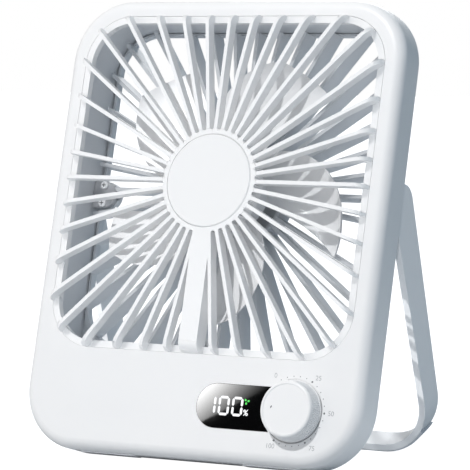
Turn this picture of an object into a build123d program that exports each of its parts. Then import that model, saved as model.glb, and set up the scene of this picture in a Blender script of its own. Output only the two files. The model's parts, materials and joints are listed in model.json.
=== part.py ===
from build123d import *
import os
from math import atan2, cos, degrees, pi, radians, sin

# Rechargeable desk fan that leans back on a folding hoop stand, in millimetres.
# Pieces are drawn in the body's own frame: the origin is where the fan axis meets the front face,
# x runs to the right, y to the back and z up along the face. At the end the whole fan is leaned
# back until its base feet and its stand both touch the ground, with +Z up.

# Front shell
body_width = 152.0
body_height = 185.0
body_corner = 25.0
control_height = 33.0         # strip for the controls, below the fan's square
fan_shift = 0.5               # fan axis above the middle of that square
shell_depth = 15.0
shell_wall = 2.2
shell_edge_round = 4.5
shell_back_round = 0.8
overrun = 6.0                 # how far a cutting tool reaches past what it cuts
part_gap = 0.15               # gap all round where one moulding drops into another
thread_gap = 0.02             # gap round a screw or pin that is driven into its hole
running_gap = 0.05            # gap round a shaft or pin that turns in its bore

# Front grille
grille_margin = 10.5          # grille opening inside the fan's square
grille_corner = 17.0
ring_width = 2.8
ring_depth = 3.0
seat_width = 1.4              # how far the ledge in the shell reaches under the grille ring
seat_depth = 1.2
collar_wall = 2.6
rib_count = 40
rib_thickness = 1.5
rib_rise = 5.5                # ribs stand this far in front of the face
rib_depth = 4.4               # front to back, away from the ring
rib_sink = 1.5
rib_end_round = 4.5
slot_round_share = 0.42        # round at the inner end of a slot, as a share of its width there
spoke_width = 8.3
spoke_front_wall = 1.6
spoke_side_wall = 1.3
hub_radius = 20.7
hub_rim = 1.8
hub_floor = 1.6
hub_skirt = 1.6               # hub rim reaches this far behind the face
cap_rise = 5.8
cap_thickness = 1.4
cap_edge = 0.4

# Rear shell and rear grille
hinge_room = 0.75             # between the rear shell and the stand, for the washers
rear_wall = 1.8
rear_front = 4.5
rear_back = 27.0
rear_edge_round = 3.0
flange_depth = 1.7
window_lip = 0.8              # back wall left round the rear grille
rear_flange_depth = 1.6
rear_frame_width = 0.5
rear_sill = 2.4               # extra frame below the rear slots
rear_rib_count = 40
rear_rib_thickness = 1.5
rear_rib_clear = 2.0          # rear ribs behind the blades
rear_slot_share = 0.35         # round at the outer end of a rear slot, as a share of its end
rear_hub_radius = 22.0
rear_hub_wall = 1.5
rear_hub_depth = 2.0

# Hoop stand and hinge
hinge_inside = 6.0            # hinge in front of the rear shell's back
hinge_drop = 2.3              # hinge below the fan axis
stand_open = 33.0             # degrees between the stand and the body at rest
hoop_thickness = 2.7
hoop_side_gap = 0.35
hoop_bottom_gap = 0.35
stand_gap = 0.65              # folded stand behind the flange of the rear shell
arm_half_width = 8.25
foot_half_width = 5.85
strip_thickness = 0.9
strip_edge = 1.0              # strip stops this far inside the edges of the hoop
strip_rise = 9.2              # strip climbs this far up each corner
pin_radius = 2.0
pin_grip = 2.0                # depth of the pin in the arm
pin_reach = 9.0               # length of the pin inside the rear shell
washer_radius = 5.5
washer_gap = 0.1
hinge_block_reach = 11.0
hinge_block_radius = 5.7
hinge_block_depth = 3.4
hinge_cap_depth = 2.4
hinge_split = 0.1             # half the gap between hinge block and cap
hinge_screw_pitch = 7.5

# Screws: radius of shank and head, and height of head
small_shank = 1.0
small_head = 1.7
small_head_height = 1.1
shell_shank = 1.25
shell_head = 2.3
shell_head_height = 1.7

# Display and dial
lens_reach = 42.7             # left end of the lens from the dial's axis
lens_height = 17.4
lens_thickness = 1.4
lens_seat = 1.6
display_width = 23.0
display_height = 13.0
display_gap = 0.2
dial_inset = 3.6              # dial's axis inside the middle of the body's corner round
dial_clear = 7.65             # from the grille ring down to the dial
dial_radius = 12.15
dial_top_radius = 11.1
dial_rise = 6.5
dial_edge = 0.9               # chamfer round the top of the dial
dial_dish = 0.25
dial_dish_radius = 9.4
pointer_out = 6.6             # pointer dimple from the dial's axis
pointer_radius = 0.6
pointer_depth = 0.35
dial_recess = 1.0
dial_float = 0.3
dial_gap = 0.5
dial_socket_depth = 4.6
knurl_count = 60
knurl_depth = 0.35
knurl_width = 0.8
shaft_radius = 3.0
pot_size = 9.8
pot_depth = 5.0
shaft_hole_gap = 0.6

# Lower chamber
board_front = 8.6
board_thickness = 1.6
board_beyond = 6.6            # right end of the board beyond the dial's axis
board_side_gap = 8.0          # left end of the board from the axes of the posts
board_above = 15.3            # upper edge of the board above the dial's axis
boss_gap = 0.6                # lower board screws clear of the potentiometer
board_corner = 2.0
board_boss_radius = 2.6
board_screw_inset = 3.4
board_screw_length = 6.0
post_radius = 3.6
post_out = 7.0                # screw posts outside the middle of the body's corner round
post_above = 11.7             # screw posts above and under the dial's axis
post_under = 6.7
post_split = 11.6
post_gap = 0.1
shell_screw_length = 10.0
counterbore_floor = 1.8
battery_side_gap = 10.0       # ends of the battery from the axes of the posts
battery_front_gap = 4.1       # battery behind the board's screws
battery_gap = 2.8             # battery from the walls above and below it
battery_corner = 3.0
usb_above = 2.7               # charging socket above the dial's axis
usb_width = 8.94
usb_height = 3.2
usb_length = 9.4
usb_wall = 0.35
usb_recess = 1.2
usb_tongue_width = 6.7
usb_tongue_height = 0.7
usb_gap = 0.2
plug_width = 8.0
plug_height = 5.0
plug_depth = 4.2

# Motor
motor_base_radius = 13.0
motor_base_thickness = 1.5
tube_radius = 4.0
tube_length = 12.6
bearing_radius = 3.0
bearing_width = 2.5
bearing_front = -0.2
bearing_back = 8.6
motor_shaft_radius = 1.5
clip_radius = 2.6
clip_thickness = 0.5
clip_front = -0.9
clip_groove = 0.3
motor_board_front = 0.2
motor_board_thickness = 1.0
motor_board_radius = 10.6
stator_front = 2.2
stator_depth = 5.0
stator_radius = 11.0
stator_core_radius = 5.6
pole_count = 9
pole_neck = 2.2
pole_shoe = 1.3
pole_gap = 1.8
coil_width = 3.6
coil_front_round = 0.7        # coil stands this far out of the stator, front and back
coil_inner = 6.0
coil_outer = 9.2
magnet_gap = 0.5
magnet_wall = 2.0
magnet_front = 1.6
magnet_depth = 6.2
can_front = 1.2
can_back = 12.6
can_wall = 1.0
motor_screw_count = 3
motor_screw_circle = 9.0
motor_screw_length = 2.7

# Impeller
blade_count = 5
blade_clear = 10.5            # blade tips inside the grille opening
blade_station_shares = (0.0, 0.34, 0.68, 1.0)
blade_width_shares = (0.29, 0.48, 0.5, 0.29)  # width at each station, as a share of the tip radius
blade_start = -6.0            # degrees by which the blades are turned at rest
blade_root_front = 5.0
blade_tip_front = 3.2
blade_root_back = 13.6
blade_tip_back = 16.0
blade_camber_share = 0.09
blade_thickness = 1.6
blade_edge = 0.7
blade_sweep = 28.0            # degrees by which the tip runs ahead of the root
hub_wall = 2.8
hub_back = 14.6
hub_front = 2.0
hub_back_round = 1.2
rotor_gap = 0.1

# Motor lead: a flat cable behind the wide spoke
lead_width = 5.0
lead_thickness = 1.2
lead_start = 13.6
lead_depth = -1.4
lead_turn_gap = 3.5            # turn of the lead inside the grille opening
lead_back = 6.4
lead_bend = 1.8
lead_gap = 0.4

# Base feet
foot_length = 26.0
foot_end_gap = 1.0             # foot inside the body's corner round
foot_front = 6.0
foot_back = 13.0
foot_height = 0.4
foot_round = 2.0

# Places worked out from the sizes above
half_width = body_width / 2
fan_square = min(body_width, body_height - control_height)
body_top = fan_square / 2 - fan_shift
body_bottom = body_top - body_height
body_middle = (body_top + body_bottom) / 2
corner_middle = half_width - body_corner
opening_half = fan_square / 2 - grille_margin
ring_half = opening_half + ring_width
ring_corner = grille_corner + ring_width
ledge_front = ring_depth + part_gap
ledge_back = ledge_front + seat_depth
cap_radius = hub_radius - hub_rim - part_gap
floor_front = cap_thickness - cap_rise
floor_back = floor_front + hub_floor
hoop_inset = shell_wall + hoop_side_gap
hoop_inner = half_width - hoop_inset - hoop_thickness
rear_half = hoop_inner - hinge_room
rear_inset = half_width - rear_half
rear_inside = rear_half - rear_wall
back_inside = rear_back - rear_wall
chamber_half = min(rear_inside, body_top - rear_inset - rear_wall)
chamber_bottom = body_bottom + rear_inset + rear_wall
divider_top = -chamber_half
divider_bottom = divider_top - rear_wall
window_half = chamber_half - window_lip
hinge_back = rear_back - hinge_inside
hinge_up = -hinge_drop
flange_front = hinge_back - arm_half_width - stand_gap - flange_depth
channel_top = hinge_up + arm_half_width + hoop_bottom_gap
dial_right = corner_middle - dial_inset
dial_up = -ring_half - dial_clear - dial_radius
lens_left = dial_right - lens_reach
post_right = corner_middle + post_out
board_left = board_side_gap - post_right
board_right = dial_right + board_beyond
board_top = dial_up + board_above
board_bottom = dial_up - pot_size / 2 - boss_gap - board_boss_radius - board_screw_inset
usb_up = dial_up + usb_above
board_back = board_front + board_thickness
usb_back = board_front
usb_front = usb_back - usb_height
base_back = floor_back + motor_base_thickness
can_radius = stator_radius + magnet_gap + magnet_wall + rotor_gap + can_wall
hub_inside = can_radius + rotor_gap
hub_outside = hub_inside + hub_wall
blade_tip_radius = opening_half - blade_clear
lead_turn = opening_half - lead_turn_gap
foot_out = corner_middle - foot_end_gap - foot_length / 2
screw_places = [(side * post_right, dial_up + rise) for side in (-1, 1)
                for rise in (post_above, -post_under)]
board_places = [(x, z) for x in (board_left + board_screw_inset, board_right - board_screw_inset)
                for z in (board_top - board_screw_inset, board_bottom + board_screw_inset)]


# Ways of drawing

def slab(sketch, front, back):
    """A flat drawing seen from the front, made solid between two depths."""
    return Pos(0, back, 0) * extrude(Plane.XZ * sketch, amount=back - front)


def outline(inset):
    """The body's outline, drawn in by an inset."""
    width = body_width - 2 * inset
    height = body_height - 2 * inset
    return Pos(0, body_middle) * RectangleRounded(width, height, body_corner - inset)


def square(half, corner):
    return RectangleRounded(2 * half, 2 * half, corner)


def rod(radius, front, back, x=0, z=0):
    """A round bar along the depth."""
    return slab(Pos(x, z) * Circle(radius), front, back)


def tube(outer, inner, front, back):
    return slab(Circle(outer) - Circle(inner), front, back)


def cross_rod(radius, inner, outer):
    """A round bar along x on the stand's hinge line, on the right side."""
    return Pos(inner, hinge_back, hinge_up) * extrude(Plane.YZ * Circle(radius), amount=outer - inner)


def block(left, right, front, back, bottom, top):
    middle = Pos((left + right) / 2, (bottom + top) / 2)
    return slab(middle * Rectangle(right - left, top - bottom), front, back)


def other_side(piece):
    return mirror(piece, about=Plane.YZ)


def round_about(piece, count, start=0):
    """Copies of a piece spaced evenly about the fan axis."""
    return [Rot(0, start + 360 / count * number, 0) * piece for number in range(count)]


def screw(shank, head, head_height, length, seat, direction):
    """A pan-head screw along the depth: its head sits at the seat, its shank runs in the direction."""
    tip = seat + direction * length
    top = seat - direction * head_height
    body = rod(head, min(seat, top), max(seat, top)) + rod(shank, min(seat, tip), max(seat, tip))
    crown = body.faces().sort_by(Axis.Y)[0 if direction > 0 else -1].edges()
    return chamfer(crown, head_height / 3)


# Front shell: one moulded tray with the grille opening, the lens seat and the dial recess

def lens_outline():
    """The lens is a pill whose right end is cut away round the dial."""
    length = dial_right - lens_left + lens_height / 2
    pill = Pos(lens_left + length / 2, dial_up) * SlotOverall(length, lens_height)
    return pill - Pos(dial_right, dial_up) * Circle(dial_radius + 2 * dial_gap)


def front_shell():
    tray = slab(outline(0), 0, shell_depth)
    tray = fillet(tray.faces().sort_by(Axis.Y)[0].edges(), shell_edge_round)
    tray = fillet(tray.faces().sort_by(Axis.Y)[-1].edges(), shell_back_round)
    tray -= slab(outline(shell_wall), shell_wall, shell_depth + overrun)
    opening = square(ring_half + part_gap, ring_corner + part_gap)
    collar = square(ring_half + collar_wall, ring_corner + collar_wall)
    ledge = square(ring_half - seat_width, ring_corner - seat_width)
    tray += slab(collar, shell_wall, ledge_back)
    tray -= slab(ledge, -overrun, ledge_back + overrun)
    tray -= slab(opening, -overrun, ledge_front)
    for x, z in screw_places:
        tray += rod(post_radius, shell_wall, post_split, x, z)
    for x, z in board_places:
        tray += rod(board_boss_radius, shell_wall, board_front, x, z)
    for x, z in screw_places:
        tray -= rod(shell_shank + thread_gap, shell_wall, post_split + overrun, x, z)
    for x, z in board_places:
        tray -= rod(small_shank + thread_gap, shell_wall, board_front + overrun, x, z)
    tray -= slab(offset(lens_outline(), part_gap), -overrun, lens_thickness)
    tray -= slab(offset(lens_outline(), -lens_seat), -overrun, shell_wall + overrun)
    tray -= rod(dial_radius + dial_gap, -overrun, dial_recess, dial_right, dial_up)
    tray -= rod(shaft_radius + shaft_hole_gap, -overrun, shell_wall + overrun, dial_right, dial_up)
    usb_hole = SlotOverall(usb_width + 2 * usb_gap, usb_height + 2 * usb_gap, rotation=90)
    usb_hole = Pos(0, (usb_front + usb_back) / 2, usb_up) * (Plane.YZ * usb_hole)
    tray -= Pos(-half_width - overrun, 0, 0) * extrude(usb_hole, amount=overrun + 2 * shell_wall)
    return tray


# Front grille: ring, thin radial ribs, one wide hollow spoke and the hub that carries the motor

def rib_gaps(area, hub, count, thickness):
    """The slots that straight ribs leave between a hub and the edge of an area, as a flat drawing."""
    reach = area.bounding_box().diagonal
    rib = Pos(reach / 2, 0) * Rectangle(reach, thickness)
    return area - Circle(hub) - [Rot(0, 0, 360 / count * number) * rib for number in range(count)]


def front_grille():
    edge = square(ring_half, ring_corner)
    crown = slab(edge, -rib_rise, rib_sink)
    crown = fillet(crown.faces().sort_by(Axis.Y)[0].edges(), rib_end_round)
    spoke = Pos(0, -ring_half) * Rectangle(spoke_width, 2 * ring_half)
    slots = rib_gaps(edge, hub_radius, rib_count, rib_thickness)
    width = 2 * pi * hub_radius / rib_count - rib_thickness
    inner_ends = [end for end in slots.vertices() if end.center().length < hub_radius + rib_thickness]
    slots = fillet(inner_ends, slot_round_share * width) - spoke
    opening = square(opening_half, grille_corner)
    grille = crown - slab(slots, -rib_rise - overrun, rib_sink + overrun)
    grille -= slab(opening - Circle(hub_radius) - spoke, rib_depth - rib_rise, rib_sink + overrun)
    grille += slab(edge - opening, 0, ring_depth)
    grille -= rod(hub_radius - hub_rim, -rib_rise - overrun, rib_sink + overrun)
    grille += tube(hub_radius, hub_radius - hub_rim, -rib_rise, hub_skirt)
    grille += rod(hub_radius - hub_rim, floor_front, floor_back)
    channel = spoke_width / 2 - spoke_side_wall
    groove_front = max(spoke_front_wall - rib_rise, floor_back)
    grille -= block(-channel, channel, groove_front, rib_sink + overrun,
                    -opening_half, 2 * hub_rim - hub_radius)
    for x, z in motor_screw_places():
        grille -= rod(small_shank + thread_gap, floor_front, floor_back + overrun, x, z)
    return grille


def hub_cap():
    disc = rod(cap_radius, -cap_rise, floor_front)
    return chamfer(disc.faces().sort_by(Axis.Y)[0].edges(), cap_edge)


# Motor, carried on the hub of the front grille

def motor_screw_places():
    step = 2 * pi / motor_screw_count
    turns = [step * number + pi / 2 for number in range(motor_screw_count)]
    return [(motor_screw_circle * cos(turn), motor_screw_circle * sin(turn)) for turn in turns]


def motor_base():
    base = rod(motor_base_radius, floor_back, base_back)
    base += tube(tube_radius, bearing_radius + thread_gap, base_back, base_back + tube_length)
    for x, z in motor_screw_places():
        base -= rod(small_shank + running_gap, floor_back - overrun, base_back + overrun, x, z)
    return base


def motor_screws():
    fixing = screw(small_shank, small_head, small_head_height, motor_screw_length, base_back, -1)
    return Part() + [Pos(x, 0, z) * fixing for x, z in motor_screw_places()]


def motor_board():
    back = motor_board_front + motor_board_thickness
    return tube(motor_board_radius, tube_radius + running_gap, motor_board_front, back)


def motor_stator():
    shoes = Circle(stator_radius) - Circle(stator_radius - pole_shoe)
    core = Circle(stator_core_radius)
    turn = 360 / pole_count
    for number in range(pole_count):
        neck = Pos(stator_radius / 2, 0) * Rectangle(stator_radius, pole_neck)
        gap = Pos(stator_radius, 0) * Rectangle(stator_radius, pole_gap)
        core += Rot(0, 0, turn * number) * neck
        shoes -= Rot(0, 0, turn * (number + 1 / 2)) * gap
    core &= Circle(stator_radius - pole_shoe / 2)
    plate = core + shoes - Circle(tube_radius + thread_gap)
    return slab(plate, stator_front, stator_front + stator_depth)


def motor_coils():
    front = stator_front - coil_front_round
    back = stator_front + stator_depth + coil_front_round
    coil = block(coil_inner, coil_outer, front, back, -coil_width / 2, coil_width / 2)
    half_neck = pole_neck / 2 + thread_gap
    coil -= block(0, stator_radius, stator_front - thread_gap, stator_front + stator_depth + thread_gap,
                  -half_neck, half_neck)
    return Part() + round_about(coil, pole_count)


def bearing(front):
    race = tube(bearing_radius, motor_shaft_radius + thread_gap, front, front + bearing_width)
    groove = bearing_width / 8
    shield = tube(bearing_radius - groove, motor_shaft_radius + 2 * groove, front, front + groove / 2)
    return race - shield


# Rotor: shaft, clip, can, ring magnet and impeller turn together

def motor_shaft():
    shaft = rod(motor_shaft_radius, clip_front - clip_groove, can_back)
    groove = tube(motor_shaft_radius + overrun, motor_shaft_radius - clip_groove,
                  clip_front, clip_front + clip_thickness)
    return shaft - groove


def shaft_clip():
    ring = Circle(clip_radius) - Circle(motor_shaft_radius - clip_groove + thread_gap)
    mouth = Pos(0, -clip_radius) * Rectangle(motor_shaft_radius, 2 * clip_radius)
    return slab(ring - mouth, clip_front + thread_gap, clip_front + clip_thickness - thread_gap)


def rotor_can():
    can = tube(can_radius, can_radius - can_wall, can_front, can_back)
    return can + tube(can_radius, motor_shaft_radius + thread_gap, can_back - can_wall, can_back)


def rotor_magnet():
    inner = stator_radius + magnet_gap
    return tube(inner + magnet_wall, inner, magnet_front, magnet_front + magnet_depth)


def blade_section(share, width_share):
    """The blade's cut at a share of the way from the hub to past the tip, seen along its length."""
    root = hub_outside - hub_wall / 2
    radius = root + share * (blade_tip_radius + hub_wall - root)
    width = width_share * blade_tip_radius
    front = blade_root_front + share * (blade_tip_front - blade_root_front)
    back = blade_root_back + share * (blade_tip_back - blade_root_back)
    middle = (front + back) / 2 + blade_camber_share * width
    lead, trail = -width / 2, width / 2
    rear_face = ThreePointArc((back, lead), (middle + blade_thickness / 2, 0), (front + blade_edge, trail))
    front_face = ThreePointArc((front, trail), (middle - blade_thickness / 2, 0), (back - blade_edge, lead))
    tip, nose = Line(rear_face @ 1, front_face @ 0), Line(front_face @ 1, rear_face @ 0)
    plane = Plane(origin=(radius, 0, 0), x_dir=(0, 1, 0), z_dir=(1, 0, 0))
    return Rot(0, blade_sweep * share * share, 0) * (plane * make_face([rear_face, tip, front_face, nose]))


def impeller():
    hub = rod(hub_outside, hub_front, hub_back)
    hub = fillet(hub.faces().sort_by(Axis.Y)[-1].edges(), hub_back_round)
    root = hub_outside - hub_wall / 2
    room = tube(blade_tip_radius, root, blade_tip_front - overrun, blade_tip_back + overrun)
    stations = zip(blade_station_shares, blade_width_shares)
    blade = loft([blade_section(share, width_share) for share, width_share in stations]) & room
    hub += round_about(blade, blade_count, blade_start)
    return hub - rod(hub_inside, hub_front - overrun, can_back + rotor_gap)


# Motor lead and its plug on the control board

def motor_lead():
    plug_top = divider_bottom - lead_bend
    route = FilletPolyline((0, lead_depth, -lead_start), (0, lead_depth, -lead_turn),
                           (0, lead_back, -lead_turn), (0, lead_back, plug_top), radius=lead_bend)
    start = Plane(origin=route @ 0, x_dir=(1, 0, 0), z_dir=route % 0)
    return sweep(start * Rectangle(lead_width, lead_thickness), path=route)


def motor_plug():
    half = plug_width / 2
    top = divider_bottom - lead_bend
    return block(-half, half, board_front - plug_depth, board_front, top - plug_height, top)


# Rear shell: fan duct above, battery chamber below, and the channel that takes the folded stand

def hinge_block_outline():
    middle = rear_inside - hinge_block_reach + hinge_block_radius
    reach = rear_inside - middle
    shape = Pos(middle, hinge_up) * Circle(hinge_block_radius)
    shape += Pos(middle + reach / 2, hinge_up) * Rectangle(reach, 2 * hinge_block_radius)
    return shape - Pos(rear_inside + reach / 2, hinge_up) * Rectangle(reach, 3 * hinge_block_radius)


def hinge_screw_places():
    middle = rear_inside - hinge_block_reach + hinge_block_radius
    return [(middle, hinge_up + side * hinge_screw_pitch / 2) for side in (-1, 1)]


def hinge_block():
    front = hinge_back + hinge_split
    part = slab(hinge_block_outline(), front, front + hinge_block_depth)
    for x, z in hinge_screw_places():
        part -= rod(small_shank + thread_gap, front - overrun, front + hinge_block_depth, x, z)
    return part


def rear_shell():
    shell = slab(outline(rear_inset), rear_front, rear_back)
    shell = fillet(shell.faces().sort_by(Axis.Y)[-1].edges(), rear_edge_round)
    inside = slab(outline(rear_inset + rear_wall), rear_front - overrun, back_inside)
    divider = block(-half_width, half_width, rear_front - overrun, rear_back, divider_bottom, divider_top)
    shell -= inside - divider
    flange = outline(shell_wall + part_gap) - outline(rear_inset)
    shell += slab(flange, flange_front, shell_depth)
    channel = outline(0) - outline(rear_inset)
    channel &= Pos(0, channel_top - body_height / 2) * Rectangle(2 * body_width, body_height)
    shell -= slab(channel, flange_front + flange_depth, shell_depth + overrun)
    window = square(window_half + part_gap, grille_corner)
    shell -= slab(window, back_inside - overrun, rear_back + overrun)
    for x, z in screw_places:
        shell += rod(post_radius, post_split + post_gap, back_inside, x, z)
    for x, z in screw_places:
        shell -= rod(shell_shank + running_gap, rear_front, rear_back + overrun, x, z)
        seat = post_split + post_gap + counterbore_floor
        shell -= rod(shell_head + part_gap, seat, rear_back + overrun, x, z)
    shell += [hinge_block(), other_side(hinge_block())]
    bore = cross_rod(pin_radius + running_gap, 0, half_width - shell_wall)
    shell -= [bore, other_side(bore)]
    notch = usb_width / 2 + usb_gap
    shell -= block(-rear_half - overrun, -rear_inside + overrun, rear_front - overrun,
                   board_back + part_gap, usb_up - notch, usb_up + notch)
    lead = lead_width / 2 + lead_gap
    lead_room = lead_back + lead_thickness / 2 + lead_gap
    shell -= block(-lead, lead, rear_front - overrun, lead_room,
                   divider_bottom - rear_wall, divider_top + rear_wall)
    return shell


def round_ended(slot):
    """A slot between two rear ribs with the corners of its outer end rounded."""
    edges = slot.edges().sort_by(SortBy.LENGTH)
    corners = [side.vertices().sort_by(SortBy.DISTANCE)[-1] for side in edges[-2:]]
    end = min(edge.length for edge in edges[:-2] if edge.center().length > 2 * rear_hub_radius)
    return fillet(corners, rear_slot_share * end)


def rear_grille():
    slot_half = window_half - rear_frame_width
    area = Pos(0, rear_sill / 2) * RectangleRounded(2 * slot_half, 2 * slot_half - rear_sill,
                                                    grille_corner - rear_frame_width)
    slots = rib_gaps(area, rear_hub_radius, rear_rib_count, rear_rib_thickness)
    slots = Sketch() + [round_ended(slot) for slot in slots.faces()]
    flange_half = chamber_half - 2 * part_gap
    flange = square(flange_half, grille_corner + flange_half - window_half)
    front = max(blade_tip_back, hub_back) + rear_rib_clear
    frame_front = back_inside - rear_flange_depth
    grille = slab(area, front, rear_back) + slab(flange, frame_front, back_inside)
    grille += slab(square(window_half, grille_corner), frame_front, rear_back)
    grille -= slab(slots, front - overrun, rear_back + overrun)
    dish = rear_hub_radius - rear_hub_wall
    grille -= rod(dish, front - overrun, rear_back - part_gap - rear_hub_depth)
    grille -= rod(dish, rear_back - part_gap, rear_back + overrun)
    room = slab(offset(hinge_block_outline(), 2 * part_gap), front - overrun,
                hinge_back + hinge_split + hinge_block_depth + part_gap)
    return grille - [room, other_side(room)]


# Hinge: a cap is screwed over each pin

def hinge_bracket():
    back = hinge_back - hinge_split
    cap = slab(offset(hinge_block_outline(), -part_gap), back - hinge_cap_depth, back)
    cap -= cross_rod(pin_radius + running_gap, 0, half_width)
    for x, z in hinge_screw_places():
        cap -= rod(small_shank + running_gap, back - hinge_cap_depth - overrun, back + overrun, x, z)
    rim = cap.faces().sort_by(Axis.Y)[0].outer_wire().edges()
    return chamfer(rim, 2 * part_gap)


def hinge_screws():
    seat = hinge_back - hinge_split - hinge_cap_depth
    length = hinge_cap_depth + hinge_block_depth
    fixing = screw(small_shank, small_head, small_head_height, length, seat, 1)
    return Part() + [Pos(side * x, 0, z) * fixing for side in (-1, 1) for x, z in hinge_screw_places()]


def hinge_pin():
    return cross_rod(pin_radius, rear_inside - pin_reach, hoop_inner + pin_grip)


def friction_washer():
    washer = cross_rod(washer_radius, rear_half + washer_gap, hoop_inner - washer_gap)
    return washer - cross_rod(pin_radius + running_gap, 0, half_width)


# Stand: a flat band bent into a hoop, wide at the hinge and narrower at the foot, drawn folded

def arm_profile(edge_inset=0):
    """The band's outline from the side: a round end at the hinge and a straight taper to the foot."""
    foot = body_bottom + hoop_inset - strip_thickness
    fall = hinge_up - foot
    top = arm_half_width - edge_inset
    low = foot_half_width - edge_inset
    taper = Polygon((hinge_back - top, hinge_up), (hinge_back + top, hinge_up),
                    (hinge_back + low, hinge_up - fall), (hinge_back - low, hinge_up - fall), align=None)
    profile = taper + Pos(hinge_back, hinge_up) * Circle(top)
    return extrude(Plane.YZ * profile, amount=body_width / 2, both=True)


def stand_hoop():
    band = outline(hoop_inset) - outline(hoop_inset + hoop_thickness)
    hoop = slab(band, hinge_back - arm_half_width, hinge_back + arm_half_width) & arm_profile()
    hole = cross_rod(pin_radius + thread_gap, hoop_inner - overrun, hoop_inner + pin_grip)
    hoop -= [hole, other_side(hole)]
    return hoop


def stand_foot_strip():
    band = outline(hoop_inset - strip_thickness) - outline(hoop_inset)
    low = body_bottom + hoop_inset + strip_rise
    band &= Pos(0, low - body_height / 2) * Rectangle(2 * body_width, body_height)
    return slab(band, hinge_back - arm_half_width, hinge_back + arm_half_width) & arm_profile(strip_edge)


# Display, dial and electronics

def display_lens():
    return slab(lens_outline(), 0, lens_thickness)


def display_module():
    middle = (lens_left + dial_right - dial_radius) / 2
    sketch = Pos(middle, dial_up) * Rectangle(display_width, display_height)
    return slab(sketch, shell_wall + display_gap, board_front)


def dial_pot():
    half = pot_size / 2
    case = block(dial_right - half, dial_right + half, board_front - pot_depth, board_front,
                 dial_up - half, dial_up + half)
    return case - rod(shaft_radius + running_gap, 0, board_front - dial_float, dial_right, dial_up)


def dial_knob():
    base = dial_recess - dial_float
    profile = Polygon((0, base), (dial_radius, base), (dial_radius, 0), (dial_top_radius, -dial_rise),
                      (0, -dial_rise), align=None)
    knob = revolve(profile, Axis.Y)
    knob = chamfer(knob.faces().sort_by(Axis.Y)[0].edges(), dial_edge)
    knob -= rod(dial_dish_radius, -dial_rise - overrun, dial_dish - dial_rise)
    cut = RegularPolygon(knurl_width, 3)
    lean = degrees(atan2(dial_radius - dial_top_radius, dial_rise))
    groove = Pos(dial_radius + knurl_width / 2 - knurl_depth, 0, 0) * Rot(0, 0, lean) * slab(
        Rot(0, 0, 180) * cut, dial_edge - dial_rise, dial_recess + overrun)
    knob -= round_about(groove, knurl_count)
    face = dial_dish - dial_rise
    knob -= rod(pointer_radius, face - overrun, face + pointer_depth, -pointer_out)
    knob -= rod(shaft_radius + thread_gap, dial_recess - dial_float - dial_socket_depth, overrun)
    return Pos(dial_right, 0, dial_up) * knob


def dial_shaft():
    return rod(shaft_radius, dial_recess - dial_float - dial_socket_depth, board_front - 2 * dial_float,
               dial_right, dial_up)


def control_board():
    board = Pos((board_left + board_right) / 2, (board_top + board_bottom) / 2) * RectangleRounded(
        board_right - board_left, board_top - board_bottom, board_corner)
    tail = usb_width + 2 * usb_gap
    reach = rear_inside + board_left - part_gap + board_corner
    board += Pos(board_left + board_corner - reach / 2, usb_up) * Rectangle(reach, tail)
    for x, z in board_places:
        board -= Pos(x, z) * Circle(small_shank + running_gap)
    return slab(board, board_front, board_back)


def board_screws():
    fixing = screw(small_shank, small_head, small_head_height, board_screw_length, board_back, -1)
    return Part() + [Pos(x, 0, z) * fixing for x, z in board_places]


def usb_sleeve(inset, length):
    sketch = SlotOverall(usb_width - 2 * inset, usb_height - 2 * inset, rotation=90)
    return extrude(Plane.YZ * sketch, amount=length)


def usb_c_socket():
    depth = usb_length - usb_recess
    tongue = Plane.YZ * Rectangle(usb_tongue_height, usb_tongue_width)
    socket = usb_sleeve(0, usb_length) - usb_sleeve(usb_wall, depth)
    socket += Pos(usb_recess, 0, 0) * extrude(tongue, amount=depth)
    return Pos(usb_recess - half_width, (usb_front + usb_back) / 2, usb_up) * socket


def battery_pack():
    width = 2 * (post_right - battery_side_gap)
    height = divider_bottom - chamber_bottom - 2 * battery_gap
    sketch = Pos(0, (divider_bottom + chamber_bottom) / 2) * RectangleRounded(width, height, battery_corner)
    return slab(sketch, board_back + small_head_height + battery_front_gap, back_inside)


def shell_screws():
    seat = post_split + post_gap + counterbore_floor
    fixing = screw(shell_shank, shell_head, shell_head_height, shell_screw_length, seat, -1)
    return Part() + [Pos(x, 0, z) * fixing for x, z in screw_places]


def base_feet():
    foot = Plane.XY * RectangleRounded(foot_length, foot_back - foot_front, foot_round)
    foot = Pos(foot_out, (foot_front + foot_back) / 2, body_bottom) * extrude(foot, amount=-foot_height)
    return Part() + [foot, other_side(foot)]


# The stand is swung open about its hinge, then the fan is leaned back on its feet and its stand

def opened(piece):
    hinge = Pos(0, hinge_back, hinge_up)
    return hinge * Rot(stand_open, 0, 0) * hinge.inverse() * piece


def strip_contact():
    """The point on the strip's front edge that meets the ground, from the side."""
    reach = hinge_up - body_bottom - hoop_inset + strip_thickness
    front = foot_half_width - strip_edge
    turn = radians(stand_open)
    back = hinge_back + reach * sin(turn) - front * cos(turn)
    return back, hinge_up - reach * cos(turn) - front * sin(turn)


strip_y, strip_z = strip_contact()
foot_z = body_bottom - foot_height
lean = degrees(atan2(strip_z - foot_z, strip_y - foot_back))

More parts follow.
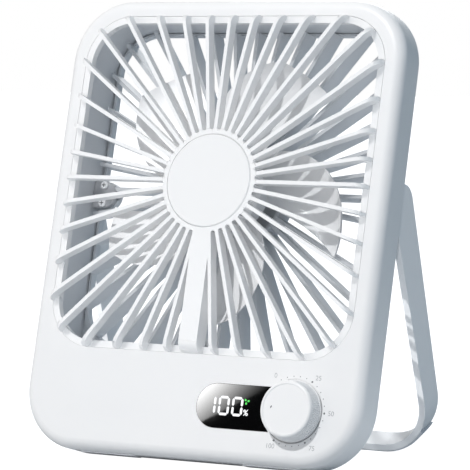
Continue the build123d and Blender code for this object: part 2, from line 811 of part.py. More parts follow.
housing = {
    "front_shell": front_shell(),
    "front_grille": front_grille(),
    "hub_cap": hub_cap(),
    "rear_shell": rear_shell(),
    "rear_grille": rear_grille(),
    "display_lens": display_lens(),
    "display_module": display_module(),
    "control_board": control_board(),
    "dial_pot": dial_pot(),
    "usb_c_socket": usb_c_socket(),
    "battery_pack": battery_pack(),
    "motor_base": motor_base(),
    "motor_board": motor_board(),
    "motor_stator": motor_stator(),
    "motor_coils": motor_coils(),
    "motor_screws": motor_screws(),
    "front_bearing": bearing(bearing_front),
    "rear_bearing": bearing(bearing_back),
    "motor_lead": motor_lead(),
    "motor_plug": motor_plug(),
    "shell_screws": shell_screws(),
    "board_screws": board_screws(),
    "hinge_bracket_right": hinge_bracket(),
    "hinge_bracket_left": other_side(hinge_bracket()),
    "hinge_screws": hinge_screws(),
    "base_feet": base_feet(),
}

dial = {
    "dial_knob": dial_knob(),
    "dial_shaft": dial_shaft(),
}

rotor = {
    "impeller": impeller(),
    "rotor_can": rotor_can(),
    "rotor_magnet": rotor_magnet(),
    "motor_shaft": motor_shaft(),
    "shaft_clip": shaft_clip(),
}

stand = {
    "stand_hoop": stand_hoop(),
    "stand_foot_strip": stand_foot_strip(),
    "hinge_pin_right": hinge_pin(),
    "hinge_pin_left": other_side(hinge_pin()),
    "friction_washer_right": friction_washer(),
    "friction_washer_left": other_side(friction_washer()),
}

everything = housing | dial | rotor | {name: opened(piece) for name, piece in stand.items()}
leaned = {name: Rot(-lean, 0, 0) * piece for name, piece in everything.items()}
boxes = [piece.bounding_box() for piece in leaned.values()]
middle = (min(box.min.Y for box in boxes) + max(box.max.Y for box in boxes)) / 2
ground = min(box.min.Z for box in boxes)

os.makedirs("parts", exist_ok=True)
for name, piece in leaned.items():
    export_step(Pos(0, -middle, -ground) * piece, f"parts/{name}.step")
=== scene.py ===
import json
from math import cos, pi, radians, sin

import bpy
from mathutils import Matrix, Vector


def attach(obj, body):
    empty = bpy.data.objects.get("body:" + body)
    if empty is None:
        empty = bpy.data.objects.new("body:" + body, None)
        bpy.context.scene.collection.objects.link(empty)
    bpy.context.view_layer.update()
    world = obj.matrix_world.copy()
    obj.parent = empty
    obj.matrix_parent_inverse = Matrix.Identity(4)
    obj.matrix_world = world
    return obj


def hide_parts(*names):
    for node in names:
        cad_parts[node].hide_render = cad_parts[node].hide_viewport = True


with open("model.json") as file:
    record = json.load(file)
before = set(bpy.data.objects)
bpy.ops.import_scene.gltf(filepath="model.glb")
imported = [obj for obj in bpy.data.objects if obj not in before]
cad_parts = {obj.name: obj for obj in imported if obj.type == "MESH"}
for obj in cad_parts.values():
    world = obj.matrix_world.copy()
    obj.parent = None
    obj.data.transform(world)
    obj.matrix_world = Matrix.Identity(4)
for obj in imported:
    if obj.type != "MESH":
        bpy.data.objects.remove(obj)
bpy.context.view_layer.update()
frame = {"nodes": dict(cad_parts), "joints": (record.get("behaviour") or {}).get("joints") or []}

# Front shell: one white tray, injection moulded in ABS with a fine spark-eroded satin.
# Its face has the grille opening, the lens seat and the dial recess. Four screws close it on the rear shell.
# Small sizes are written in millimetres, and mm turns them into the frame's metres.
mm = 0.001
nodes = frame["nodes"]
drift_detail = 3
grain_detail = 1
grain_height = 0.2
weld_reach = 0.002
ease_steps = 3
crease_angle = radians(35)
first_colour, second_colour, mixed_colour = 6, 7, 2  # the colour sockets of a Mix node


def moulded_finish_group():
    """Slow colour drift, fine satin grain and roughness drift of a moulded surface."""
    group = bpy.data.node_groups.new("moulded_finish", "ShaderNodeTree")
    taken = (
        ("Colour", "NodeSocketColor", (1, 1, 1, 1)),
        ("Shade", "NodeSocketColor", (1, 1, 1, 1)),
        ("Drift Scale", "NodeSocketFloat", 40),
        ("Grain Scale", "NodeSocketFloat", 3000),
        ("Grain Depth", "NodeSocketFloat", 0.05),
        ("Smoothest", "NodeSocketFloat", 0.35),
        ("Roughest", "NodeSocketFloat", 0.45),
    )
    for name, kind, value in taken:
        socket = group.interface.new_socket(name, in_out="INPUT", socket_type=kind)
        socket.default_value = value
    handed_on = (
        ("Colour", "NodeSocketColor"),
        ("Roughness", "NodeSocketFloat"),
        ("Normal", "NodeSocketVector"),
    )
    for name, kind in handed_on:
        group.interface.new_socket(name, in_out="OUTPUT", socket_type=kind)
    make = group.nodes.new
    link = group.links.new
    given = make("NodeGroupInput")
    out = make("NodeGroupOutput")
    place = make("ShaderNodeTexCoord")
    drift = make("ShaderNodeTexNoise")
    drift.inputs["Detail"].default_value = drift_detail
    grain = make("ShaderNodeTexNoise")
    grain.inputs["Detail"].default_value = grain_detail
    mix = make("ShaderNodeMix")
    mix.data_type = "RGBA"
    rough = make("ShaderNodeMapRange")
    bump = make("ShaderNodeBump")
    bump.inputs["Distance"].default_value = grain_height * mm
    link(place.outputs["Object"], drift.inputs["Vector"])
    link(place.outputs["Object"], grain.inputs["Vector"])
    link(given.outputs["Drift Scale"], drift.inputs["Scale"])
    link(given.outputs["Grain Scale"], grain.inputs["Scale"])
    link(drift.outputs["Fac"], mix.inputs["Factor"])
    link(given.outputs["Colour"], mix.inputs[first_colour])
    link(given.outputs["Shade"], mix.inputs[second_colour])
    link(grain.outputs["Fac"], rough.inputs["Value"])
    link(given.outputs["Smoothest"], rough.inputs["To Min"])
    link(given.outputs["Roughest"], rough.inputs["To Max"])
    link(grain.outputs["Fac"], bump.inputs["Height"])
    link(given.outputs["Grain Depth"], bump.inputs["Strength"])
    link(mix.outputs[mixed_colour], out.inputs["Colour"])
    link(rough.outputs["Result"], out.inputs["Roughness"])
    link(bump.outputs["Normal"], out.inputs["Normal"])
    return group


moulded_finish = moulded_finish_group()


def shader_of(material):
    """The shader that gives a material its surface."""
    return material.node_tree.nodes["Principled BSDF"]


def moulded(name, colour, shade, smoothest=0.34, roughest=0.46, grain_scale=3000, grain_depth=0.05):
    """A material whose colour, roughness and grain come from the moulded finish."""
    material = bpy.data.materials.new(name)
    material.use_nodes = True
    tree = material.node_tree
    finish = tree.nodes.new("ShaderNodeGroup")
    finish.node_tree = moulded_finish
    finish.inputs["Colour"].default_value = (*colour, 1)
    finish.inputs["Shade"].default_value = (*shade, 1)
    finish.inputs["Smoothest"].default_value = smoothest
    finish.inputs["Roughest"].default_value = roughest
    finish.inputs["Grain Scale"].default_value = grain_scale
    finish.inputs["Grain Depth"].default_value = grain_depth
    shader = shader_of(material)
    tree.links.new(finish.outputs["Colour"], shader.inputs["Base Color"])
    tree.links.new(finish.outputs["Roughness"], shader.inputs["Roughness"])
    tree.links.new(finish.outputs["Normal"], shader.inputs["Normal"])
    return material


def finish_node(name, material, edge=0.0):
    """Gives a solid its material and, where the real edge is eased, a small round on its edges."""
    piece = nodes[name]
    piece.data.materials.clear()
    piece.data.materials.append(material)
    if edge:
        weld = piece.modifiers.new("weld", "WELD")
        weld.merge_threshold = weld_reach * mm
        ease = piece.modifiers.new("ease", "BEVEL")
        ease.width = edge * mm
        ease.segments = ease_steps
        ease.limit_method = "ANGLE"
        ease.angle_limit = crease_angle
        ease.use_clamp_overlap = True
        even = piece.modifiers.new("even", "WEIGHTED_NORMAL")
        even.weight = 100


shell_plastic = moulded("satin_white_abs", colour=(0.89, 0.892, 0.896), shade=(0.86, 0.865, 0.873))
finish_node("front_shell", shell_plastic, edge=0.12)

# Front grille and hub cap: the same white ABS, moulded apart and dropped into the shell.
# The ribs' edges are eased by the tool, and the cap is pressed into the hub.
# The grille's white is a little lighter than the shell's: painted light, to brighten the ribs' sides inside
# the fan.
lightened_grille_plastic = moulded("satin_white_grille_lightened", colour=(0.92, 0.923, 0.928), shade=(0.89, 0.895, 0.902),
                         smoothest=0.32, roughest=0.42)
cap_plastic = moulded("satin_white_cap", colour=(0.89, 0.892, 0.896), shade=(0.87, 0.874, 0.88),
                      smoothest=0.36, roughest=0.48)
finish_node("front_grille", lightened_grille_plastic, edge=0.35)
finish_node("hub_cap", cap_plastic, edge=0.1)

# Motor: die-cast base and bearing tube on the hub, iron stator with copper coils, small board.
# Three screws hold the base, and a clip keeps the shaft in its two bearings.
# It is out of sight behind the hub, so its finishes are plain but true.
metal_grain_depth = 0.03


def metal(name, colour, shade, smoothest, roughest, grain_scale=2500):
    """A bare or plated metal with the fine drift of the moulded finish."""
    material = moulded(name, colour, shade, smoothest, roughest, grain_scale, metal_grain_depth)
    shader_of(material).inputs["Metallic"].default_value = 1
    return material


cast_alloy = metal("cast_alloy", colour=(0.62, 0.63, 0.65), shade=(0.52, 0.53, 0.55),
                   smoothest=0.35, roughest=0.5)
lamination_iron = metal("lamination_iron", colour=(0.28, 0.28, 0.3), shade=(0.2, 0.2, 0.22),
                        smoothest=0.4, roughest=0.55)
copper_wire = metal("copper_wire", colour=(0.72, 0.36, 0.2), shade=(0.6, 0.28, 0.15),
                    smoothest=0.3, roughest=0.45, grain_scale=6000)
plated_steel = metal("plated_steel", colour=(0.66, 0.67, 0.69), shade=(0.54, 0.55, 0.58),
                     smoothest=0.22, roughest=0.36)
solder_mask = moulded("green_solder_mask", colour=(0.03, 0.2, 0.1), shade=(0.02, 0.15, 0.08),
                      smoothest=0.25, roughest=0.4)
ferrite = moulded("dark_ferrite", colour=(0.1, 0.1, 0.11), shade=(0.06, 0.06, 0.07),
                  smoothest=0.5, roughest=0.7)
finish_node("motor_base", cast_alloy)
finish_node("motor_stator", lamination_iron)
finish_node("motor_coils", copper_wire)
finish_node("motor_board", solder_mask)
for name in ("motor_screws", "front_bearing", "rear_bearing", "motor_shaft", "shaft_clip", "rotor_can"):
    finish_node(name, plated_steel)
finish_node("rotor_magnet", ferrite)

# Impeller: five swept blades on a hub, moulded in a glossier white that throws streaks of light.
# It is pressed on the rotor can and turns behind the grille, where its blades look grey in the shade.
impeller_plastic = moulded("gloss_white_impeller", colour=(0.91, 0.914, 0.92), shade=(0.88, 0.886, 0.894),
                           smoothest=0.14, roughest=0.2)
finish_node("impeller", impeller_plastic, edge=0.15)

# Rear shell and rear grille: white ABS like the front, with deep radial bars behind the impeller.
# The grille is an insert in the shell's opening, and four plated screws close the shells from behind.
# Their colour is a darker, bluer copy of the front's white: painted shade for the duct walls and bars inside
# the fan; the rear shell's outside takes it too.
shade_darkened_rear_plastic = moulded("satin_white_rear_painted_shade", colour=(0.81, 0.83, 0.855), shade=(0.78, 0.8, 0.825))
finish_node("rear_shell", shade_darkened_rear_plastic, edge=0.06)
finish_node("rear_grille", shade_darkened_rear_plastic, edge=0.08)
finish_node("shell_screws", plated_steel)

# Hinge: two grey acetal brackets hold the stand's steel pins, each with an acetal friction washer.
# Each bracket is held by two bright zinc screws, which show through the front grille.
# Their cross slots are thin dark marks on the heads: painted shade for the slots' hollows.
screw_out, screw_ups, screw_top = 62.9, (-6.05, 1.45), -17.4
slot_reach, slot_half = 0.95, 0.2
mark_thickness = 0.02
acetal_grey = moulded("grey_acetal", colour=(0.5, 0.51, 0.535), shade=(0.45, 0.46, 0.485),
                      smoothest=0.3, roughest=0.42)
bright_zinc = moulded("bright_zinc", colour=(0.86, 0.87, 0.88), shade=(0.78, 0.79, 0.81),
                      smoothest=0.2, roughest=0.3)
shader_of(bright_zinc).inputs["Metallic"].default_value = 0.3
painted_slot_shade = moulded("painted_slot_shade", colour=(0.12, 0.125, 0.135), shade=(0.08, 0.085, 0.095),
                     smoothest=0.5, roughest=0.6)
washer_plastic = moulded("washer_acetal", colour=(0.32, 0.33, 0.35), shade=(0.26, 0.27, 0.29),
                         smoothest=0.35, roughest=0.5)
for side in ("left", "right"):
    finish_node(f"hinge_bracket_{side}", acetal_grey)
    finish_node(f"hinge_pin_{side}", plated_steel)
    finish_node(f"friction_washer_{side}", washer_plastic)
finish_node("hinge_screws", bright_zinc, edge=0.25)
joints = {joint["name"]: joint for joint in frame["joints"]}
fan_centre = Vector(joints["impeller_spin"]["pos_m"])
face_right = Vector((1, 0, 0))
face_back = Vector(joints["impeller_spin"]["axis"])
face_up = face_right.cross(face_back)


def on_face(right, up, proud):
    """The way from millimetres right, up and proud of the front face, at the fan's axis, to the frame."""
    spot = fan_centre + (face_right * right + face_up * up - face_back * proud) * mm
    turn = Matrix((face_right, face_up, -face_back)).transposed().to_4x4()
    return Matrix.Translation(spot) @ turn @ Matrix.Scale(mm, 4)


def inlay(name, outlines, right, up, proud, material, body):
    """Thin flat marks, each an outline in millimetres, laid on a plane parallel to the front face."""
    points = []
    faces = []
    for outline in outlines:
        first = len(points)
        count = len(outline)
        points += [(x, y, 0) for x, y in outline] + [(x, y, mark_thickness) for x, y in outline]
        faces.append(tuple(range(first + count, first + 2 * count)))
        faces.append(tuple(range(first + count - 1, first - 1, -1)))
        for corner in range(count):
            after = (corner + 1) % count
            faces.append((first + corner, first + after, first + count + after, first + count + corner))
    mesh = bpy.data.meshes.new(name)
    mesh.from_pydata(points, [], faces)
    mesh.transform(on_face(right, up, proud))
    mesh.materials.append(material)
    piece = bpy.data.objects.new(name, mesh)
    bpy.context.scene.collection.objects.link(piece)
    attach(piece, body)


def rectangle(left, right, low, high):
    """A level rectangle's outline."""
    return [(left, low), (right, low), (right, high), (left, high)]


# Painted shade: dark crosses laid on the screw heads where the slots' hollows are.
slots = []
for x in (-screw_out, screw_out):
    for y in screw_ups:
        slots.append(rectangle(x - slot_reach, x + slot_reach, y - slot_half, y + slot_half))
        slots.append(rectangle(x - slot_half, x + slot_half, y - slot_reach, y - slot_half))
        slots.append(rectangle(x - slot_half, x + slot_half, y + slot_half, y + slot_reach))
inlay("screw_slot_painted_shade", slots, 0, 0, screw_top, painted_slot_shade, "housing")

# Stand: a flat steel band bent to a hoop and powder coated white.
# A rubber strip is bonded round its foot, and two silicone pads sit under the body.
coat_white = moulded("powder_coat_white", colour=(0.91, 0.915, 0.922), shade=(0.88, 0.887, 0.896),
                     smoothest=0.3, roughest=0.42, grain_scale=1800, grain_depth=0.06)
strip_rubber = moulded("grey_rubber", colour=(0.62, 0.65, 0.69), shade=(0.55, 0.58, 0.62),
                       smoothest=0.42, roughest=0.55, grain_scale=2500, grain_depth=0.08)
foot_silicone = moulded("pale_silicone", colour=(0.72, 0.73, 0.75), shade=(0.66, 0.67, 0.7),
                        smoothest=0.5, roughest=0.65)
finish_node("stand_hoop", coat_white, edge=0.8)
finish_node("stand_foot_strip", strip_rubber, edge=0.15)
finish_node("base_feet", foot_silicone, edge=0.15)

# Dial: a white knob moulded in the same ABS, with fine upright grooves on its tapered side for the fingers.
# It is pressed on the potentiometer's grey shaft. A spot of grey paint halfway to its rim is the pointer;
# the knob has no dimple there, so its dark tone and slim, leaned shape are partly painted shade of that
# dimple.
knob_radius, knob_top_radius = 12.1, 11.05
knob_rise, knob_foot, foot_band = 6.5, 0.65, 0.5
grip_count, groove_steps = 96, 4
grip_depth, grip_inset, grip_low, grip_high = 0.3, 0.1, 1.0, 5.2
rim_round, rim_steps = 1.0, 6
dish_radius, dish_depth = 9.8, 0.2
sharp_angle = radians(30)
pointer_out, pointer_up, pointer_half = 6.3, 0.4, 0.55
pointer_slim_share, pointer_lean = 0.5, radians(65)
dial_plastic = moulded("satin_white_dial", colour=(0.9, 0.902, 0.906), shade=(0.88, 0.884, 0.89),
                       smoothest=0.3, roughest=0.4)
ink_and_shade_grey = moulded("grey_ink", colour=(0.2, 0.205, 0.215), shade=(0.16, 0.165, 0.175),
                   smoothest=0.5, roughest=0.6)
dial_middle = Vector(joints["dial_turn"]["pos_m"]) - fan_centre
dial_right = dial_middle.dot(face_right) / mm
dial_up = dial_middle.dot(face_up) / mm


def knob_side(height):
    """The radius of the knob's tapered side at a height above the face."""
    return knob_radius + (knob_top_radius - knob_radius) * height / knob_rise


def knob_rows():
    """The knob's outline from its foot to its dish: radius, height and how deep the grooves are there."""
    rows = [(knob_radius, -knob_foot, 0), (knob_radius, foot_band, 0)]
    for height, groove in ((foot_band, 0), (grip_low, 1), (grip_high, 1), (grip_high + grip_depth, 0)):
        rows.append((knob_side(height) - grip_inset, height, groove))
    for step in range(rim_steps + 1):
        turn = pi / 2 * step / rim_steps
        rows.append((knob_top_radius - rim_round + rim_round * cos(turn),
                     knob_rise - rim_round + rim_round * sin(turn), 0))
    return rows + [(dish_radius, knob_rise, 0), (dish_radius - dish_depth, knob_rise - dish_depth, 0)]


def grooved_knob():
    """The knob as one closed mesh round the dial's axis."""
    rows = knob_rows()
    around = groove_steps * grip_count
    points = []
    for radius, height, groove in rows:
        for step in range(around):
            turn = 2 * pi * step / around
            reach = radius - groove * grip_depth * (1 - cos(grip_count * turn)) / 2
            points.append((reach * cos(turn), reach * sin(turn), height))
    faces = [tuple(range(around - 1, -1, -1)), tuple(range((len(rows) - 1) * around, len(rows) * around))]
    for row in range(len(rows) - 1):
        low = row * around
        high = low + around
        for step in range(around):
            after = (step + 1) % around
            faces.append((low + step, low + after, high + after, high + step))
    mesh = bpy.data.meshes.new("turned_knob")
    mesh.from_pydata(points, [], faces)
    mesh.transform(on_face(dial_right, dial_up, 0))
    mesh.shade_smooth()
    mesh.set_sharp_from_angle(angle=sharp_angle)
    mesh.materials.append(dial_plastic)
    return mesh


knob = bpy.data.objects.new("turned_knob", grooved_knob())
bpy.context.scene.collection.objects.link(knob)
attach(knob, "dial")
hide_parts("dial_knob")
finish_node("dial_knob", dial_plastic)
finish_node("dial_shaft", washer_plastic)


def disc(radius, x=0.0, y=0.0, sides=24):
    """A round outline in millimetres."""
    turns = [2 * pi * side / sides for side in range(sides)]
    return [(x + radius * cos(turn), y + radius * sin(turn)) for turn in turns]


def leaned(outline, lean):
    """An outline turned about its own origin."""
    return [(x * cos(lean) - y * sin(lean), x * sin(lean) + y * cos(lean)) for x, y in outline]


# The pointer: grey paint, with the painted shade of a dimple in its dark tone and slim leaned shape.
pointer = leaned([(x, y * pointer_slim_share) for x, y in disc(pointer_half)], pointer_lean)
inlay("dial_pointer", [pointer], dial_right - pointer_out, dial_up + pointer_up, knob_rise - dish_depth,
      ink_and_shade_grey, "dial")

# Printed scale: grey ink pad-printed on the shell, clockwise round the dial from 0 to 100.
# A small dot marks each twentieth and a bolder one each quarter after 0. The figures are in paler ink.
dot_out, dot_radius, bold_dot_radius, dot_sides = 13.55, 0.2, 0.4, 16
dot_steps, dots_in_quarter = 20, 5
first_dot, dot_turn = 120, 12
figure_height = 1.9
figure_places = {0: (125, 16.2), 25: (55, 16.2), 50: (0, 16.4), 75: (-54, 17.0), 100: (-120, 16.2)}
letter_size_share = 1.4
letter_depth = 0.01
pale_ink = moulded("pale_grey_ink", colour=(0.46, 0.47, 0.485), shade=(0.41, 0.42, 0.435),
                   smoothest=0.5, roughest=0.6)
dots = []
for step in range(dot_steps + 1):
    turn = radians(first_dot - dot_turn * step)
    bold = step > 0 and step % dots_in_quarter == 0
    radius = bold_dot_radius if bold else dot_radius
    dots.append(disc(radius, dot_out * cos(turn), dot_out * sin(turn), dot_sides))
inlay("scale_dots", dots, dial_right, dial_up, 0, ink_and_shade_grey, "housing")


def figures(name, words, right, up, height, material, weight=0.0):
    """A number or sign in plain upright letters, centred on a spot of the front face."""
    letters = bpy.data.curves.new(name, "FONT")
    letters.body = words
    letters.size = height * letter_size_share
    letters.align_x = "CENTER"
    letters.align_y = "CENTER"
    letters.extrude = letter_depth
    letters.offset = weight
    letters.materials.append(material)
    mesh = bpy.data.meshes.new_from_object(bpy.data.objects.new(f"{name}_letters", letters))
    mesh.transform(on_face(right, up, letter_depth))
    piece = bpy.data.objects.new(name, mesh)
    bpy.context.scene.collection.objects.link(piece)
    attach(piece, "housing")


for value, (degrees, out) in figure_places.items():
    turn = radians(degrees)
    figures(f"scale_{value}", str(value), dial_right + out * cos(turn), dial_up + out * sin(turn),
            figure_height, pale_ink)

# Display lens: smoked acrylic glued in flush with the face, black where nothing behind it is lit.
# White seven-segment figures show the charge, with a percent sign and a small green fan.
digit_width, digit_height, bar, segment_gap = 4.9, 7.6, 1.0, 0.12
digit_rise = 0.2
hundreds_right, tens_right, ones_right = 10.9, 16.9, 22.9
percent_right, percent_drop, percent_height, percent_weight = 26.9, 2.1, 2.3, 0.07
fan_sign_right, fan_sign_rise, fan_sign_turns = 26.8, 2.4, (10, 130, 250)
fan_sign_blade = [(0.2, 0.0), (0.62, -0.32), (1.12, -0.26), (1.32, 0.18), (1.0, 0.55), (0.5, 0.44)]
glow_drift = 400
smoked_acrylic = moulded("smoked_acrylic", colour=(0.0006, 0.0006, 0.0007), shade=(0.001, 0.001, 0.0012),
                         smoothest=0.02, roughest=0.04, grain_scale=800, grain_depth=0.0)
shader_of(smoked_acrylic).inputs["Specular IOR Level"].default_value = 0.3
finish_node("display_lens", smoked_acrylic)


def lit(name, colour, shade, strength):
    """A lit mark: it glows in a colour that drifts a little, as a diffuser does."""
    material = moulded(name, colour=(0.02, 0.02, 0.02), shade=(0.03, 0.03, 0.03))
    tree = material.node_tree
    glow = tree.nodes.new("ShaderNodeGroup")
    glow.node_tree = moulded_finish
    glow.inputs["Colour"].default_value = (*colour, 1)
    glow.inputs["Shade"].default_value = (*shade, 1)
    glow.inputs["Drift Scale"].default_value = glow_drift
    shader = shader_of(material)
    tree.links.new(glow.outputs["Colour"], shader.inputs["Emission Color"])
    shader.inputs["Emission Strength"].default_value = strength
    return material


def upright_bar(x, low, high):
    """One upright segment of a figure, with pointed ends."""
    half = bar / 2
    return [(x, low), (x + half, low + half), (x + half, high - half),
            (x, high), (x - half, high - half), (x - half, low + half)]


def level_bar(y, left, right):
    """One level segment of a figure, with pointed ends."""
    half = bar / 2
    return [(left, y), (left + half, y - half), (right - half, y - half),
            (right, y), (right - half, y + half), (left + half, y + half)]


def upright_pair(x):
    """The upper and the lower segment on one side of a figure."""
    tall = (digit_height - bar) / 2
    return [upright_bar(x, segment_gap, tall - segment_gap),
            upright_bar(x, segment_gap - tall, -segment_gap)]


def level_pair():
    """The top and the bottom segment of a figure."""
    tall = (digit_height - bar) / 2
    reach = (digit_width - bar) / 2 - segment_gap
    return [level_bar(tall, -reach, reach), level_bar(-tall, -reach, reach)]


lit_white = lit("lit_white", colour=(1.0, 1.0, 1.0), shade=(0.86, 0.89, 0.92), strength=1.15)
lit_green = lit("lit_green", colour=(0.1, 0.9, 0.12), shade=(0.07, 0.75, 0.1), strength=1.0)
side_out = (digit_width - bar) / 2
one = upright_pair(side_out)
zero = one + upright_pair(-side_out) + level_pair()
inlay("digit_hundreds", one, hundreds_right, dial_up + digit_rise, 0, lit_white, "housing")
inlay("digit_tens", zero, tens_right, dial_up + digit_rise, 0, lit_white, "housing")
inlay("digit_ones", zero, ones_right, dial_up + digit_rise, 0, lit_white, "housing")
figures("percent_sign", "%", percent_right, dial_up - percent_drop, percent_height,
        lit_white, percent_weight)
fan_sign = [leaned(fan_sign_blade, radians(turn)) for turn in fan_sign_turns]
inlay("fan_sign", fan_sign, fan_sign_right, dial_up + fan_sign_rise, 0, lit_green, "housing")

# Electronics in the lower chamber: board, display module, potentiometer, charging socket,
# flat battery in foil, and the flat lead that comes down from the motor behind the wide spoke.
# Small screws hold the board to posts of the front shell, and all of it is closed in by the shells.
module_black = moulded("black_module", colour=(0.03, 0.03, 0.035), shade=(0.02, 0.02, 0.024),
                       smoothest=0.4, roughest=0.55)
pouch_foil = metal("pouch_foil", colour=(0.7, 0.71, 0.73), shade=(0.6, 0.61, 0.64),
                   smoothest=0.3, roughest=0.5, grain_scale=900)
jacket_white = moulded("white_jacket", colour=(0.82, 0.83, 0.84), shade=(0.78, 0.79, 0.8),
                       smoothest=0.45, roughest=0.6)
finish_node("control_board", solder_mask)
for name in ("display_module", "dial_pot", "motor_plug"):
    finish_node(name, module_black)
finish_node("usb_c_socket", plated_steel)
finish_node("battery_pack", pouch_foil)
finish_node("motor_lead", jacket_white)
finish_node("board_screws", plated_steel)

# Studio floor: a pale painted board that runs out of sight.
# It looks white to the camera and throws a cool, dimmer light back on the fan.
floor_half = 6.0
floor_paint = moulded("pale_floor", colour=(0.68, 0.71, 0.74), shade=(0.65, 0.68, 0.71),
                      smoothest=0.8, roughest=0.9, grain_scale=50, grain_depth=0.0)
floor_shader = shader_of(floor_paint)
floor_shader.inputs["Emission Color"].default_value = (1, 1, 1, 1)
floor_tree = floor_paint.node_tree
floor_path = floor_tree.nodes.new("ShaderNodeLightPath")
floor_tree.links.new(floor_path.outputs["Is Camera Ray"], floor_shader.inputs["Emission Strength"])
floor_corners = [(x, y, 0) for x, y in rectangle(-floor_half, floor_half, -floor_half, floor_half)]
floor_mesh = bpy.data.meshes.new("floor")
floor_mesh.from_pydata(floor_corners, [], [(0, 1, 2, 3)])
floor_mesh.materials.append(floor_paint)
floor = bpy.data.objects.new("floor", floor_mesh)
bpy.context.scene.collection.objects.link(floor)

# Studio surroundings: white to the camera, with soft light from the upper left and cool shade on the right.
# Gloss sees a dim room, so that the white plastic keeps its satin and the lens stays black.
bright_side = Vector((-0.7, -0.5, 0.5)).normalized()
shade_end, bright_end = -0.7, 0.9
shade_light, bright_light = (0.02, 0.14, 0.24, 1), (0.73, 0.7, 0.68, 1)
gloss_light, seen_light = (0.06, 0.064, 0.068, 1), (1, 1, 1, 1)


def studio_world():
    """The surroundings, which differ for what they light, for gloss and for the camera."""
    world = bpy.data.worlds.new("white_studio")
    world.use_nodes = True
    make = world.node_tree.nodes.new
    link = world.node_tree.links.new
    place = make("ShaderNodeTexCoord")
    side = make("ShaderNodeVectorMath")
    side.operation = "DOT_PRODUCT"
    side.inputs[1].default_value = bright_side
    share = make("ShaderNodeMapRange")
    share.inputs["From Min"].default_value = shade_end
    share.inputs["From Max"].default_value = bright_end
    soft = make("ShaderNodeMix")
    soft.data_type = "RGBA"
    soft.inputs[first_colour].default_value = shade_light
    soft.inputs[second_colour].default_value = bright_light
    path = make("ShaderNodeLightPath")
    gloss = make("ShaderNodeMix")
    gloss.data_type = "RGBA"
    gloss.inputs[second_colour].default_value = gloss_light
    seen = make("ShaderNodeMix")
    seen.data_type = "RGBA"
    seen.inputs[second_colour].default_value = seen_light
    link(place.outputs["Generated"], side.inputs[0])
    link(side.outputs["Value"], share.inputs["Value"])
    link(share.outputs["Result"], soft.inputs["Factor"])
    link(path.outputs["Is Glossy Ray"], gloss.inputs["Factor"])
    link(soft.outputs[mixed_colour], gloss.inputs[first_colour])
    link(path.outputs["Is Camera Ray"], seen.inputs["Factor"])
    link(gloss.outputs[mixed_colour], seen.inputs[first_colour])
    link(seen.outputs[mixed_colour], world.node_tree.nodes["Background"].inputs["Color"])
    return world


bpy.context.scene.world = studio_world()

# Studio lights: keys from the front and above, a narrow beam on the left blade, a soft light from the left.
# A fill comes from the right, the floor's bounce lights the right side, and a wide light shows the back.
# Each is kept to the pieces that it is for, and only the dial throws a shadow on the face.
key_away, key_rise, key_left = 1.4, 0.64, 0.13
far_away = 1.6
key_spot = fan_centre + (face_up * key_rise - face_back - face_right * key_left) * key_away
fill_spot = fan_centre + Vector((0.42, -0.9, -0.03)) * far_away
side_spot = fan_centre + Vector((-0.55, -0.6, 0.15))
back_spot = fan_centre + Vector((-0.35, 1.2, 0.8))
stand_spot = fan_centre + Vector((-0.55, -0.7, 0.45)) * far_away
bounce_spot, bounce_aim = (0.125, -0.025, 0.002), (0.07, -0.02, 0.02)
blade_right, blade_up, blade_back = -30, 25, 15


def aimed(name, lamp, spot, aim):
    """A lamp at a spot, turned to face what it lights."""
    light = bpy.data.objects.new(name, lamp)
    light.location = spot
    light.rotation_euler = (Vector(aim) - Vector(spot)).to_track_quat("-Z", "Y").to_euler()
    bpy.context.scene.collection.objects.link(light)
    return light


def soft_light(name, spot, aim, size, power):
    """A square studio light."""
    lamp = bpy.data.lights.new(name, "AREA")
    lamp.size = size
    lamp.energy = power
    return aimed(name, lamp, spot, aim)


def narrow_light(name, spot, aim, size, power, cone, blend):
    """A narrow beam."""
    lamp = bpy.data.lights.new(name, "SPOT")
    lamp.shadow_soft_size = size
    lamp.energy = power
    lamp.spot_size = cone
    lamp.spot_blend = blend
    return aimed(name, lamp, spot, aim)


def keep_light(light, state, pieces):
    """Keeps a light to some pieces, with INCLUDE, or off them, with EXCLUDE."""
    group = bpy.data.collections.new(f"{light.name}_pieces")
    for piece in pieces:
        group.objects.link(piece)
    for member in group.collection_objects:
        member.light_linking.link_state = state
    light.light_linking.receiver_collection = group


shell, blades, hoop = nodes["front_shell"], nodes["impeller"], nodes["stand_hoop"]
rear_shell, rear_grille = nodes["rear_shell"], nodes["rear_grille"]
face_key = soft_light("face_key", key_spot, fan_centre, size=0.05, power=15.5)
keep_light(face_key, "INCLUDE", (shell, knob, nodes["hinge_screws"]))
shading_pieces = bpy.data.collections.new("shading_pieces")
shading_pieces.objects.link(knob)
face_key.light_linking.blocker_collection = shading_pieces
grille_key = soft_light("grille_key", key_spot, fan_centre, size=0.05, power=7.5)
keep_light(grille_key, "EXCLUDE", (shell, knob, blades))
fill_light = soft_light("fill", fill_spot, fan_centre, size=0.12, power=4.6)
keep_light(fill_light, "EXCLUDE", (shell, knob, blades, rear_shell, rear_grille))
side_light = soft_light("side", side_spot, fan_centre, size=0.5, power=1.0)
side_light.visible_glossy = False
keep_light(side_light, "EXCLUDE", (shell, knob))
blade_key = soft_light("blade_key", key_spot, fan_centre, size=0.02, power=16.0)
keep_light(blade_key, "INCLUDE", (blades,))
left_blade = fan_centre + (face_right * blade_right + face_up * blade_up + face_back * blade_back) * mm
blade_beam = narrow_light("left_blade", key_spot, left_blade, size=0.01, power=40.0,
                          cone=radians(2.4), blend=0.6)
keep_light(blade_beam, "INCLUDE", (blades,))
back_light = soft_light("back", back_spot, fan_centre, size=0.6, power=8.0)
keep_light(back_light, "EXCLUDE", (blades, nodes["front_grille"], floor))
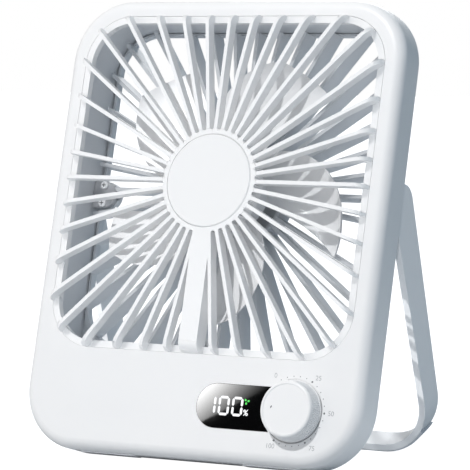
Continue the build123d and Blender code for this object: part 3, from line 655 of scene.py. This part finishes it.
bounce_light = soft_light("bounce", bounce_spot, bounce_aim, size=0.04, power=0.009)
bounce_light.visible_glossy = False
keep_light(bounce_light, "INCLUDE", (shell, rear_shell))
stand_key = soft_light("stand_key", stand_spot, fan_centre, size=0.02, power=20.0)
keep_light(stand_key, "INCLUDE", (hoop,))

# Camera: a long lens a little above the desk and to the right, as in the photograph.
# The picture is shown without a film curve, so the white plastic stays white.
camera_place = (0.5529, -0.9731, 0.1678)
camera_drop, camera_turn = 4.07, 29.53
camera_lens = bpy.data.cameras.new("photo_view")
camera_lens.sensor_width = 36
camera_lens.lens = 214.6
camera_lens.clip_end = 50
camera = bpy.data.objects.new("photo_view", camera_lens)
camera.location = camera_place
camera.rotation_euler = (radians(90 - camera_drop), 0, radians(camera_turn))
bpy.context.scene.collection.objects.link(camera)
bpy.context.scene.camera = camera
bpy.context.scene.view_settings.view_transform = "Standard"

# Softbox seen in the lens: a bright card above and left of the camera, whose lower edge is cut on the slant.
# It shows only in gloss, and its light fades to the right and downward.
card_away, card_power = 0.35, 70.0
card_left, card_right, card_half_height = 4, 36, 8.7
card_reach_share = 0.75
card_fall = (0.72, -0.7, 0)
card_outline = ((0, 12), (0, -10.5), (6, -7.6), (33, 7.4), (40, 11), (40, 12))


def seen_in_lens(right, above_dial):
    """The spot on the card that the camera sees mirrored at a spot of the lens."""
    spot = on_face(right, dial_up + above_dial, 0).translation
    look = (spot - camera.location).normalized()
    return spot + (look - 2 * look.dot(face_back) * face_back) * card_away


def softbox_glow(reach):
    """A glow that falls off along the card as the square of what is left of its reach."""
    material = bpy.data.materials.new("softbox_glow")
    material.use_nodes = True
    make = material.node_tree.nodes.new
    link = material.node_tree.links.new
    shader = shader_of(material)
    shader.inputs["Base Color"].default_value = (0, 0, 0, 1)
    shader.inputs["Emission Color"].default_value = (1, 1, 1, 1)
    place = make("ShaderNodeTexCoord")
    along = make("ShaderNodeVectorMath")
    along.operation = "DOT_PRODUCT"
    along.inputs[1].default_value = card_fall
    fade = make("ShaderNodeMapRange")
    fade.inputs["From Min"].default_value = 0
    fade.inputs["From Max"].default_value = reach
    fade.inputs["To Min"].default_value = card_power ** 0.5
    fade.inputs["To Max"].default_value = 0
    square = make("ShaderNodeMath")
    square.operation = "POWER"
    square.inputs[1].default_value = 2
    link(place.outputs["Object"], along.inputs[0])
    link(along.outputs["Value"], fade.inputs["Value"])
    link(fade.outputs["Result"], square.inputs[0])
    link(square.outputs["Value"], shader.inputs["Emission Strength"])
    return material


card_origin = seen_in_lens(card_left, card_half_height)
card_across = seen_in_lens(card_right, card_half_height) - card_origin
card_x = card_across.normalized()
card_y = (card_origin - seen_in_lens(card_left, -card_half_height)).normalized()
card_frame = Matrix((card_x, card_y, card_x.cross(card_y))).transposed().to_4x4()
card_frame.translation = card_origin
card_corners = [card_frame.inverted() @ seen_in_lens(right, above) for right, above in card_outline]
card_mesh = bpy.data.meshes.new("softbox_card")
card_mesh.from_pydata(card_corners, [], [tuple(range(len(card_corners)))])
card_mesh.materials.append(softbox_glow(card_across.length * card_reach_share))
card = bpy.data.objects.new("softbox_card", card_mesh)
card.matrix_world = card_frame
card.visible_camera = False
card.visible_diffuse = False
card.visible_shadow = False
card.visible_transmission = False
bpy.context.scene.collection.objects.link(card)
